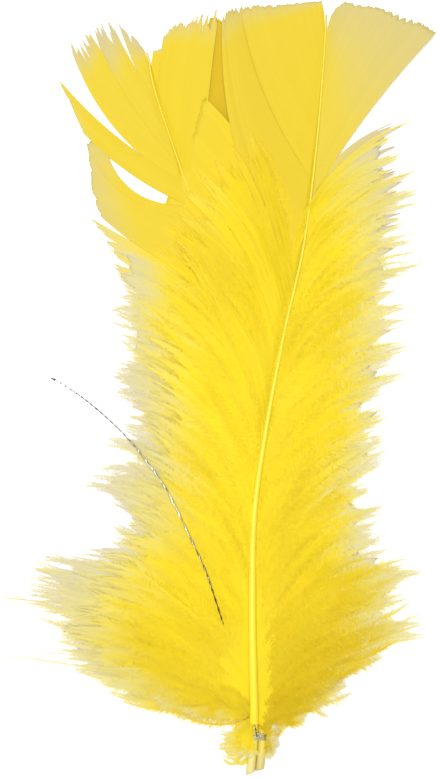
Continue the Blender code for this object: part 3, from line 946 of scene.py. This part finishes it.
front_down = [
    web(
        "front_down_bed_right",
        front_shaft,
        front_right_down,
        front_down_level,
        down_look,
        83,
        pale=(0.03, 0.95, 0.62),
        length=0.9,
        **bed,
    ),
    down(
        "front_down_right",
        front_shaft,
        front_right_down,
        530,
        front_down_level,
        down_look,
        81,
        pale=(0.45, 0.66, 0.68, 0.68, 0.6),
        weakest=(0.6, 0.85, 0.8, 0.7),
        smooth=0.2,
        light=(0.8, 0.95, 0.98, 0.8, 0.45, 0.3),
    ),
    web(
        "front_down_bed_left",
        front_shaft,
        front_left_down[2:],
        front_down_level,
        down_look,
        84,
        pale=(0.03, 0.25, 0.7),
        length=0.85,
        **bed,
    ),
    down(
        "front_down_left",
        front_shaft,
        front_left_down,
        500,
        front_down_level,
        down_look,
        82,
        pale=(0.85, 0.8, 0.6, 0.6, 0.6),
        weakest=(0.2, 0.25, 0.6, 0.6, 0.75),
        smooth=0.35,
        light=(0.7, 0.95, 1.0, 0.92, 0.75, 0.6),
    ),
]
for made in front_down:
    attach(made, "root")
    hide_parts("front_feather")


# Barbs that stand out of the down and lie over their neighbours: single tips at the left, long ones up the
# middle, on the webs, a few that hang over the tie, and the short ones left on the two quills below it.
def loose_level(x, y):
    """Height of the long barbs up the middle, over both the webs and the down."""
    return np.maximum(fan_level(x, y) + 0.2, np.minimum(layer(x) + 1.25, 5.4 - 0.12 * y))


def tie_level(x, y):
    """Height of the barbs round the tie."""
    return 2.4 + 0.2 * np.clip(y + 66, 0, 6)


single = dict(
    level=back_down_level,
    puff=0.1,
    fringe=0.5,
    pale=(0.3, 0.3),
    weakest=(1.0, 1.0),
    uneven=0.05,
)
straggling = dict(
    level=loose_level,
    scatter=2.0,
    pale=(0.95, 0.95),
    weakest=(0.1, 0.1),
    light=(0.75, 0.85, 1.0),
    uneven=0.4,
    gather=0.3,
)
loose_barbs = {
    "tips_left": (
        back_shaft,
        [
            (-50.0, 0.18, -31.8, -30.0),
            (-52.6, 0.16, -37.1, -33.7),
            (-53.8, 0.15, -38.1, -35.8),
            (-54.9, 0.14, -38.3, -37.9),
        ],
        dict(count=14, scatter=0.1, gather=0.99, **single),
    ),
    "tip_low_left": (
        back_shaft,
        [(-57.9, 0.06, -38.7, -48.1), (-58.0, 0.06, -38.5, -48.0)],
        dict(count=3, scatter=0.2, gather=0.9, **single),
    ),
    "middle_left": (
        front_shaft,
        [
            (20.0, 0.1, 6.0, 46.0),
            (10.0, 0.12, 2.0, 43.0),
            (0.0, 0.14, -2.0, 40.0),
            (-10.0, 0.16, -6.0, 34.0),
            (-18.0, 0.16, -9.0, 28.0),
        ],
        dict(count=120, fringe=0.7, **straggling),
    ),
    "middle_right": (
        front_shaft,
        [(18.0, 0.1, 22.0, 42.0), (6.0, 0.12, 21.0, 34.0), (-8.0, 0.14, 20.0, 22.0)],
        dict(count=50, fringe=0.5, **straggling),
    ),
    "over_tie": (
        front_shaft,
        [(-59.0, -0.1, 1.0, -64.5), (-60.0, -0.1, 3.5, -66.0), (-60.8, 0.0, 4.9, -66.5)],
        dict(count=24, level=tie_level, fringe=0.7, scatter=0.4, light=(0.8, 0.8)),
    ),
    "below_tie_left": (
        front_shaft,
        [
            (-61.5, 0.1, -0.3, -61.6),
            (-63.5, 0.0, -0.5, -64.5),
            (-64.5, -0.1, -0.2, -66.2),
            (-65.5, -0.1, 2.2, -67.0),
        ],
        dict(
            count=15,
            level=tie_level,
            fringe=0.5,
            scatter=0.9,
            pale=(0.2, 0.2),
            weakest=(0.6, 0.6),
            light=(0.7, 0.7),
        ),
    ),
    "below_tie_right": (
        back_shaft,
        [(-61.8, 0.0, 10.6, -61.5), (-63.5, 0.0, 10.0, -63.5), (-64.5, 0.0, 9.4, -66.0)],
        dict(count=24, level=tie_level, fringe=0.7, scatter=0.4, pale=(0.1, 0.1), light=(0.15, 0.15)),
    ),
}
for i, (place_of_it, (shaft, guides, look_of_it)) in enumerate(loose_barbs.items()):
    made = down(f"loose_barbs_{place_of_it}", shaft, guides, look=down_look, seed=120 + i, **look_of_it)
    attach(made, "root")
    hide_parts("back_feather" if shaft is back_shaft else "front_feather")


# The wire tie: fine soft wire wound round both quills just above their cut ends. It holds the two feathers
# and the end of the tinsel together.
tie_middle, tie_turns, tie_pitch = -62.6, 4, 0.36
tie_radius, loop_radius = 0.12, 1.12
tie_rings, tie_sides = 200, 10


def quill_centre(shaft):
    """The x and z of a quill's centre at the tie."""
    return np.array([np.interp(tie_middle, shaft[:, 1], shaft[:, i]) for i in (0, 2)])


front_centre, back_centre = quill_centre(front_shaft), quill_centre(back_shaft)
side = unit(back_centre - front_centre)
up = np.array([-side[1], side[0]])
turn = np.linspace(0, tie_turns, tie_rings)
angle = (2 * np.pi * turn)[:, None]
round_both = np.where(np.cos(angle) > 0, back_centre, front_centre)
round_both = round_both + loop_radius * (np.cos(angle) * side + np.sin(angle) * up)
tie_y = tie_middle + tie_pitch * (tie_turns / 2 - turn)
tie_line = np.stack([round_both[:, 0], tie_y, round_both[:, 1]], axis=-1)
tie_points, tie_faces = skin(rings_along(tie_line, np.full(tie_rings, tie_radius), tie_sides))
tie = piece("wire_tie", tie_points, tie_faces, metal("tie wire", (0.42, 0.40, 0.32), 0.4))
tie.data.shade_smooth()
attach(tie, "root")
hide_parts("binding_wire")


# The table and the light. The table is white and evenly lit, and the light is soft, a little stronger from
# the left.
floor_mesh = bpy.data.meshes.new("table")
shape = bmesh.new()
bmesh.ops.create_grid(shape, x_segments=1, y_segments=1, size=1.5)
shape.to_mesh(floor_mesh)
shape.free()
white = bpy.data.materials.new("white table")
white.use_nodes = True
shader = white.node_tree.nodes["Principled BSDF"]
shader.inputs["Base Color"].default_value = (0.92, 0.92, 0.92, 1.0)
shader.inputs["Roughness"].default_value = 0.8
shader.inputs["Emission Color"].default_value = (1.0, 1.0, 1.0, 1.0)
shader.inputs["Emission Strength"].default_value = 0.25
floor_mesh.materials.append(white)
table = bpy.data.objects.new("table", floor_mesh)
bpy.context.scene.collection.objects.link(table)

world = bpy.data.worlds.new("soft light")
world.use_nodes = True
world.node_tree.nodes["Background"].inputs["Color"].default_value = (1.0, 1.0, 1.0, 1.0)
world.node_tree.nodes["Background"].inputs["Strength"].default_value = 0.28
bpy.context.scene.world = world
for name, place, size, watts in (
    ("top light", (-0.03, 0.02, 0.8), 0.2, 6.2),
    ("side light", (-0.6, 0.2, 0.5), 0.4, 0.8),
):
    lamp = bpy.data.lights.new(name, "AREA")
    lamp.size = size
    lamp.energy = watts
    holder = bpy.data.objects.new(name, lamp)
    holder.location = place
    tilt = math.atan2(math.hypot(place[0], place[1]), place[2])
    holder.rotation_euler = (0.0, tilt, math.atan2(place[1], place[0]))
    bpy.context.scene.collection.objects.link(holder)
